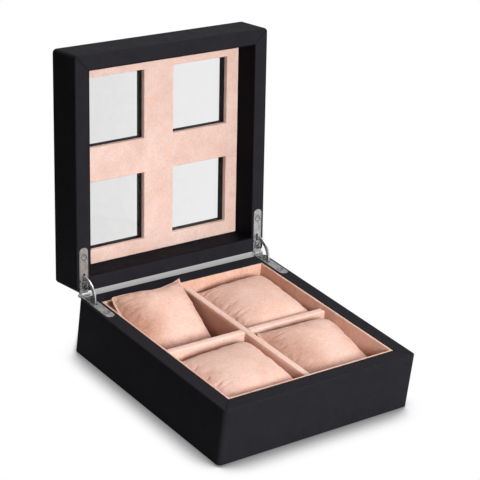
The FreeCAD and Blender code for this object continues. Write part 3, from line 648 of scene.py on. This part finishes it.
def sew_pillow(corner, cut):
    """A pillow sewn and turned, leant the way it lies and set down in its compartment."""
    bpy.ops.object.select_all(action="DESELECT")
    bpy.ops.mesh.primitive_grid_add(x_subdivisions=pillow_columns, y_subdivisions=pillow_rows, size=2)
    pillow = bpy.context.object
    pillow.name = f"pillow_{corner}"
    seams = pillow.vertex_groups.new(name="seams")
    marked = {"nap": [], "folds": []}
    tilt, roll = (math.radians(turn) for turn in cut["lean"])
    lean = Matrix.Rotation(tilt, 3, "X") @ Matrix.Rotation(-roll, 3, "Y")
    for point in pillow.data.vertices:
        station = crowded(point.co.x)
        across = crowded(1 - 2 * abs(point.co.y))
        edge = max(abs(station), abs(across))
        if edge > pillow_lip_start:
            seams.add([point.index], 1.0, "REPLACE")
        fold = fold_at(station, across, edge, tilt)
        marked["folds"].append(fold)
        # The attribute named nap holds the painted shade.
        marked["nap"].append(pillow_shade_at(station, across, edge, fold) * cut["painted_shade"])
        point.co = lean @ pillow_point(cut, station, across, point.co.y < 0) + Vector(cut["place"])
    for point in pillow.data.vertices:
        point.co += noise.noise_vector(point.co * lumps_per_metre) * lump_depth
    for name, values in marked.items():
        pillow.data.attributes.new(name, "FLOAT", "POINT").data.foreach_set("value", values)
    bpy.ops.object.mode_set(mode="EDIT")
    bpy.ops.mesh.select_all(action="SELECT")
    bpy.ops.mesh.remove_doubles(threshold=seam_merge)
    bpy.ops.object.mode_set(mode="OBJECT")
    bpy.ops.object.shade_smooth()
    return pillow


def stuff_pillow(pillow):
    """Fills a sewn pillow, whose cloth is a little slack and held at its seams."""
    cloth = pillow.modifiers.new("stuffing", "CLOTH")
    for setting, value in stuffing.items():
        setattr(cloth.settings, setting, value)
    cloth.settings.effector_weights.gravity = 0
    cloth.collision_settings.use_collision = False
    cloth.point_cache.frame_start = 1
    cloth.point_cache.frame_end = stuffing_frames
    for step in range(1, stuffing_frames + 1):
        scene.frame_set(step)
    bpy.context.view_layer.objects.active = pillow
    bpy.ops.object.modifier_apply(modifier=cloth.name)
    scene.frame_set(1)


def crease_pillow(pillow):
    """Presses the folds in that run from the sewn ends into the cloth."""
    folds = pillow.data.attributes["folds"]
    inward = [-point.normal for point in pillow.data.vertices]
    for point in pillow.data.vertices:
        point.co += inward[point.index] * folds.data[point.index].value * pleat_depth
    pillow.data.attributes.remove(folds)


def keep_in_room(pillow, corner):
    """Presses a pillow flat where it meets the floor pad, the linings and the dividers."""
    signs = (-1 if "left" in corner else 1, -1 if "front" in corner else 1, 1)
    for point in pillow.data.vertices:
        for axis, sign in enumerate(signs):
            reach = min(room_high[axis] - pillow_clear, sign * point.co[axis])
            point.co[axis] = sign * max(room_low[axis] + pillow_clear, reach)


# The pillows' velvet takes painted shade from the attribute named nap.
pillow_velvet = velvet(
    "velvet_pillow", pillow_strokes, velvet_pale, velvet_shade, rubbed=pillow_rubbed, painted_shade="nap"
)
noise.seed_set(lump_seed)
for corner, cut in pillows.items():
    pillow = sew_pillow(corner, cut)
    stuff_pillow(pillow)
    crease_pillow(pillow)
    keep_in_room(pillow, corner)
    smooth = pillow.modifiers.new("smooth", "SUBSURF")
    smooth.levels = smooth.render_levels = 1
    bpy.ops.object.modifier_apply(modifier=smooth.name)
    pillow.data.materials.append(pillow_velvet)
    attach(pillow, f"{corner}_cushion")
    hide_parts(f"cushion_{corner}")

# Lid cover: the same leatherette, wrapped round the lid's walls, over its rim and down into the recess.
# It is turned in at the four windows, and mitred at the corners of the rim as on the base.
hinge_line = Vector((0, 0.10395, 0.0517))
lid_swing = math.radians(-99)
# Painted shade darkens the leatherette down in the lid's recess.
lid_recess_shade = 0.85
rim_gap = 0.0005
lid_rim = (rim_gap - rim_clear, rim_gap + rim_skin)
swung_open = Matrix.Translation(hinge_line) @ Matrix.Rotation(lid_swing, 4, "X")
lid_middle = swung_open @ Vector((0, -hinge_line.y, 0))
lid_cover = leatherette("leatherette_lid", lid_middle, (lid_swing, 0, 0), lid_rim, lid_recess_shade)
dress(lid_cover, "lid_leather_cover")

# Glass: one clear sheet, lying over the windows from inside and held by the velvet panel.
# It is wiped clean, with only a faint smear here and there, and its colour is a faint tint of the glass with
# a painted shade, grey and darker towards the left.
glass_left_shaded = (0.745, 0.748, 0.748, 1)
glass_right_shaded = (0.83, 0.832, 0.832, 1)
glass_shade_run = (-0.07, 0.07)
glass_bend = 1.25
glass_smears = (34.0, 4.0, 0.6, 2.5)
smear_span = (0.45, 0.75)
smear_rough = 0.035
smear_drift = 0.03
glass, tree, shader = new_finish("clear_glass")
spot = add_node(tree, "ShaderNodeTexCoord").outputs["Object"]
smears = cloudy(tree, spot, *glass_smears)
tree.links.new(ramp(tree, smears, *smear_span, 0.0, smear_rough), shader.inputs["Roughness"])
along = add_node(tree, "ShaderNodeSeparateXYZ", {0: spot}).outputs[0]
along = reckon(tree, "MULTIPLY_ADD", ramp(tree, smears, *noise_span), smear_drift, along)
# Painted shade: the glass is tinted grey, darker towards the left.
glass_tint_and_shade = blended(tree, ramp(tree, along, *glass_shade_run), glass_left_shaded, glass_right_shaded)
tree.links.new(glass_tint_and_shade, shader.inputs["Base Color"])
shader.inputs["Transmission Weight"].default_value = 1.0
shader.inputs["IOR"].default_value = glass_bend
clear = add_node(tree, "ShaderNodeBsdfTransparent", {"Color": glass_tint_and_shade})
by_lamp = add_node(tree, "ShaderNodeLightPath").outputs["Is Shadow Ray"]
through = add_node(tree, "ShaderNodeMixShader", {0: by_lamp, 1: shader.outputs[0], 2: clear.outputs[0]})
tree.links.new(through.outputs[0], tree.nodes["Material Output"].inputs["Surface"])
dress(glass, "lid_glass")

# Velvet panel: a board with four windows, covered in the lining's velvet and pressed into the lid.
# It holds the glass, and the cloth is drawn round the edges of its windows.
# The panel's velvet is painted paler than the pillows', a painted light.
lid_velvet_lit_pale = (1.0, 0.765, 0.685, 1)
lid_velvet_lit_dark = (0.75, 0.480, 0.390, 1)
lid_velvet_strokes = 210.0
lid_velvet_rubbed = 0.45
panel_half_width = 0.08615
panel_front = 0.18965
panel_back = 0.01385
panel_depth = 0.0223
panel_thickness = 0.0042
panel_round = 0.0010
panel_steps = 5
sharp_angle = 1.0
window_sides = (0.0153, 0.07355)
window_runs = ((0.02645, 0.08645), (0.11705, 0.17705))
leaf_line = 0.0022


def cut_across(through, normal):
    """Cuts the flat sheet in edit mode along a line."""
    bpy.ops.mesh.select_all(action="SELECT")
    bpy.ops.mesh.bisect(plane_co=through, plane_no=normal)


def in_window(middle):
    """Whether a spot on the sheet lies in one of the windows."""
    beside = window_sides[0] < abs(middle.x) < window_sides[1]
    return beside and any(start < -leaf_line - middle.y < end for start, end in window_runs)


face_height = rim_gap + panel_depth
panel_middle = (0, -leaf_line - (panel_front + panel_back) / 2, face_height)
bpy.ops.object.select_all(action="DESELECT")
bpy.ops.mesh.primitive_plane_add(size=1, location=panel_middle)
panel = bpy.context.object
panel.name = "lid_velvet_covered"
panel.scale = (2 * panel_half_width, panel_front - panel_back, 1)
bpy.ops.object.transform_apply(location=True, rotation=True, scale=True)
bpy.ops.object.mode_set(mode="EDIT")
for side in window_sides:
    cut_across((side, 0, face_height), (1, 0, 0))
    cut_across((-side, 0, face_height), (1, 0, 0))
for run in window_runs:
    for end in run:
        cut_across((0, -leaf_line - end, face_height), (0, 1, 0))
bpy.ops.mesh.select_mode(type="FACE")
bpy.ops.mesh.select_all(action="DESELECT")
cage = bmesh.from_edit_mesh(panel.data)
for face in cage.faces:
    face.select_set(in_window(face.calc_center_median()))
bmesh.update_edit_mesh(panel.data)
bpy.ops.mesh.delete(type="FACE")
bpy.ops.mesh.select_all(action="SELECT")
bpy.ops.mesh.extrude_region_move(TRANSFORM_OT_translate={"value": (0, 0, panel_thickness)})
bpy.ops.mesh.select_all(action="SELECT")
bpy.ops.mesh.normals_make_consistent(inside=False)
pick_edges(panel, lambda edge: (
    all(end.co.z < face_height + touch for end in edge.verts) and edge.calc_face_angle(0) > sharp_angle
))
bpy.ops.mesh.bevel(offset=panel_round, segments=panel_steps, affect="EDGES")
bpy.ops.object.mode_set(mode="OBJECT")
panel.matrix_world = swung_open
bpy.ops.object.transform_apply(location=True, rotation=True, scale=True)
bpy.ops.object.shade_smooth_by_angle(angle=soft_angle)
panel.data.materials.append(
    velvet("velvet_lid", lid_velvet_strokes, lid_velvet_lit_pale, lid_velvet_lit_dark, rubbed=lid_velvet_rubbed)
)
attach(panel, "lid")
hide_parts("lid_velvet_panel")

# Hinges: two stop hinges of nickel-plated steel, with leaves let into the rims and held by sunk screws.
# A curved strip slides between the leaves beside each knuckle and stops the lid when it is open.
nickel_pale = (0.60, 0.605, 0.61, 1)
nickel_dark = (0.26, 0.262, 0.268, 1)
nickel_black = (0.012, 0.012, 0.013, 1)
nickel_white = (1.0, 1.0, 1.0, 1)
nickel_draw = (1.0, 0.08, 0.3)
nickel_lines = (3600.0, 3.0, 0.6)
nickel_line_share = 0.4
nickel_clouds = (210.0, 3.0, 0.6)
nickel_cloud_share = 0.6
nickel_tone_span = (0.1, 0.9)
nickel_rough = (0.50, 0.30)
nickel_metal = 0.85
nickel_relief = (0.25, 0.00006)
hinge_side = 0.093
leaf_half_width = 0.0047
leaf_edge_start = 0.6
leaf_edge_tone = 0.25
screw_rows = (0.0074, 0.033)
screw_shade_ring = (0.0020, 0.0023, 0.0026, 0.0028)
slot_half_width = 0.0008
slot_run = (0.0122, 0.0185)
slot_soft = 0.0003
speck_start = (0.0030, 0.0038)
speck_end = (0.0125, 0.0145)
speck_dark = 0.92
speck_noise = (520.0, 3.0, 0.65)
speck_span = (0.46, 0.56)
mark_depth = 3.0


def leaf_marks(tree, framed, beside, away):
    """Where a leaf is dark: painted shade round its screws and in its slot, and dark specks by its knuckle.
    """
    # Painted shade in the slot.
    marks = ramp(tree, beside, slot_half_width, slot_half_width + slot_soft, 1.0, 0.0)
    marks = reckon(tree, "MULTIPLY", marks, ramp(tree, away, slot_run[0], slot_run[0] + slot_soft))
    marks = reckon(tree, "MULTIPLY", marks, ramp(tree, away, slot_run[1], slot_run[1] + slot_soft, 1.0, 0.0))
    # Painted shade in a ring round each sunk screw.
    for row in screw_rows:
        along = reckon(tree, "SUBTRACT", away, row)
        squares = reckon(tree, "MULTIPLY_ADD", along, along, reckon(tree, "MULTIPLY", beside, beside))
        from_screw = reckon(tree, "SQRT", squares)
        ring = ramp(tree, from_screw, *screw_shade_ring[:2])
        ring = reckon(tree, "MULTIPLY", ring, ramp(tree, from_screw, *screw_shade_ring[2:], 1.0, 0.0))
        marks = reckon(tree, "MAXIMUM", marks, ring)
    # Dark specks by the knuckle.
    dark_specks = ramp(tree, cloudy(tree, framed, *speck_noise), *speck_span)
    dark_specks = reckon(tree, "MULTIPLY", dark_specks, ramp(tree, away, *speck_end, speck_dark, 0.0))
    dark_specks = reckon(tree, "MULTIPLY", dark_specks, ramp(tree, away, *speck_start))
    return reckon(tree, "MAXIMUM", marks, dark_specks)


def nickel(name, place, turn, pale=nickel_pale, leaf=True):
    """Plated steel, drawn lengthwise; on a leaf it is marked with painted shade and dark specks, and is
    darker and duller towards its edges.
    """
    finish, tree, shader = new_finish(name)
    framed = set_out(tree, place, turn)
    drawn = add_node(tree, "ShaderNodeMapping", {"Vector": framed, "Scale": nickel_draw}).outputs[0]
    lines = cloudy(tree, drawn, *nickel_lines)
    clouds = cloudy(tree, framed, *nickel_clouds)
    tone = ramp(tree, clouds, *noise_span, 0.0, nickel_cloud_share)
    tone = reckon(tree, "MULTIPLY_ADD", ramp(tree, lines, *noise_span), nickel_line_share, tone)
    relief = lines
    if leaf:
        axes = add_node(tree, "ShaderNodeSeparateXYZ", {0: framed}).outputs
        beside = reckon(tree, "ABSOLUTE", axes[0])
        marks = leaf_marks(tree, framed, beside, reckon(tree, "MULTIPLY", axes[1], -1.0))
        by_edge = ramp(tree, beside, leaf_edge_start * leaf_half_width, leaf_half_width, 1.0, leaf_edge_tone)
        tone = reckon(tree, "MULTIPLY", tone, by_edge)
        relief = reckon(tree, "MULTIPLY_ADD", marks, -mark_depth, lines)
    colour = blended(tree, tone, nickel_dark, pale)
    if leaf:
        colour = blended(tree, marks, colour, nickel_black)
    tree.links.new(colour, shader.inputs["Base Color"])
    tree.links.new(ramp(tree, tone, *nickel_tone_span, *nickel_rough), shader.inputs["Roughness"])
    shader.inputs["Metallic"].default_value = nickel_metal
    emboss(tree, shader, relief, *nickel_relief)
    return finish


polished = nickel("nickel_stay", (0, 0, 0), (0, 0, 0), nickel_white, leaf=False)
for hand, side in (("left", -hinge_side), ("right", hinge_side)):
    pin_middle = hinge_line + Vector((side, 0, 0))
    base_nickel = nickel(f"nickel_{hand}_base", pin_middle, (0, 0, 0))
    lid_nickel = nickel(f"nickel_{hand}_lid", pin_middle, (lid_swing, 0, 0))
    dress(base_nickel, f"{hand}_hinge_base_leaf", f"{hand}_hinge_base_screws")
    dress(lid_nickel, f"{hand}_hinge_lid_leaf", f"{hand}_hinge_lid_screws")
    dress(polished, f"{hand}_hinge_pin", f"{hand}_hinge_stay")
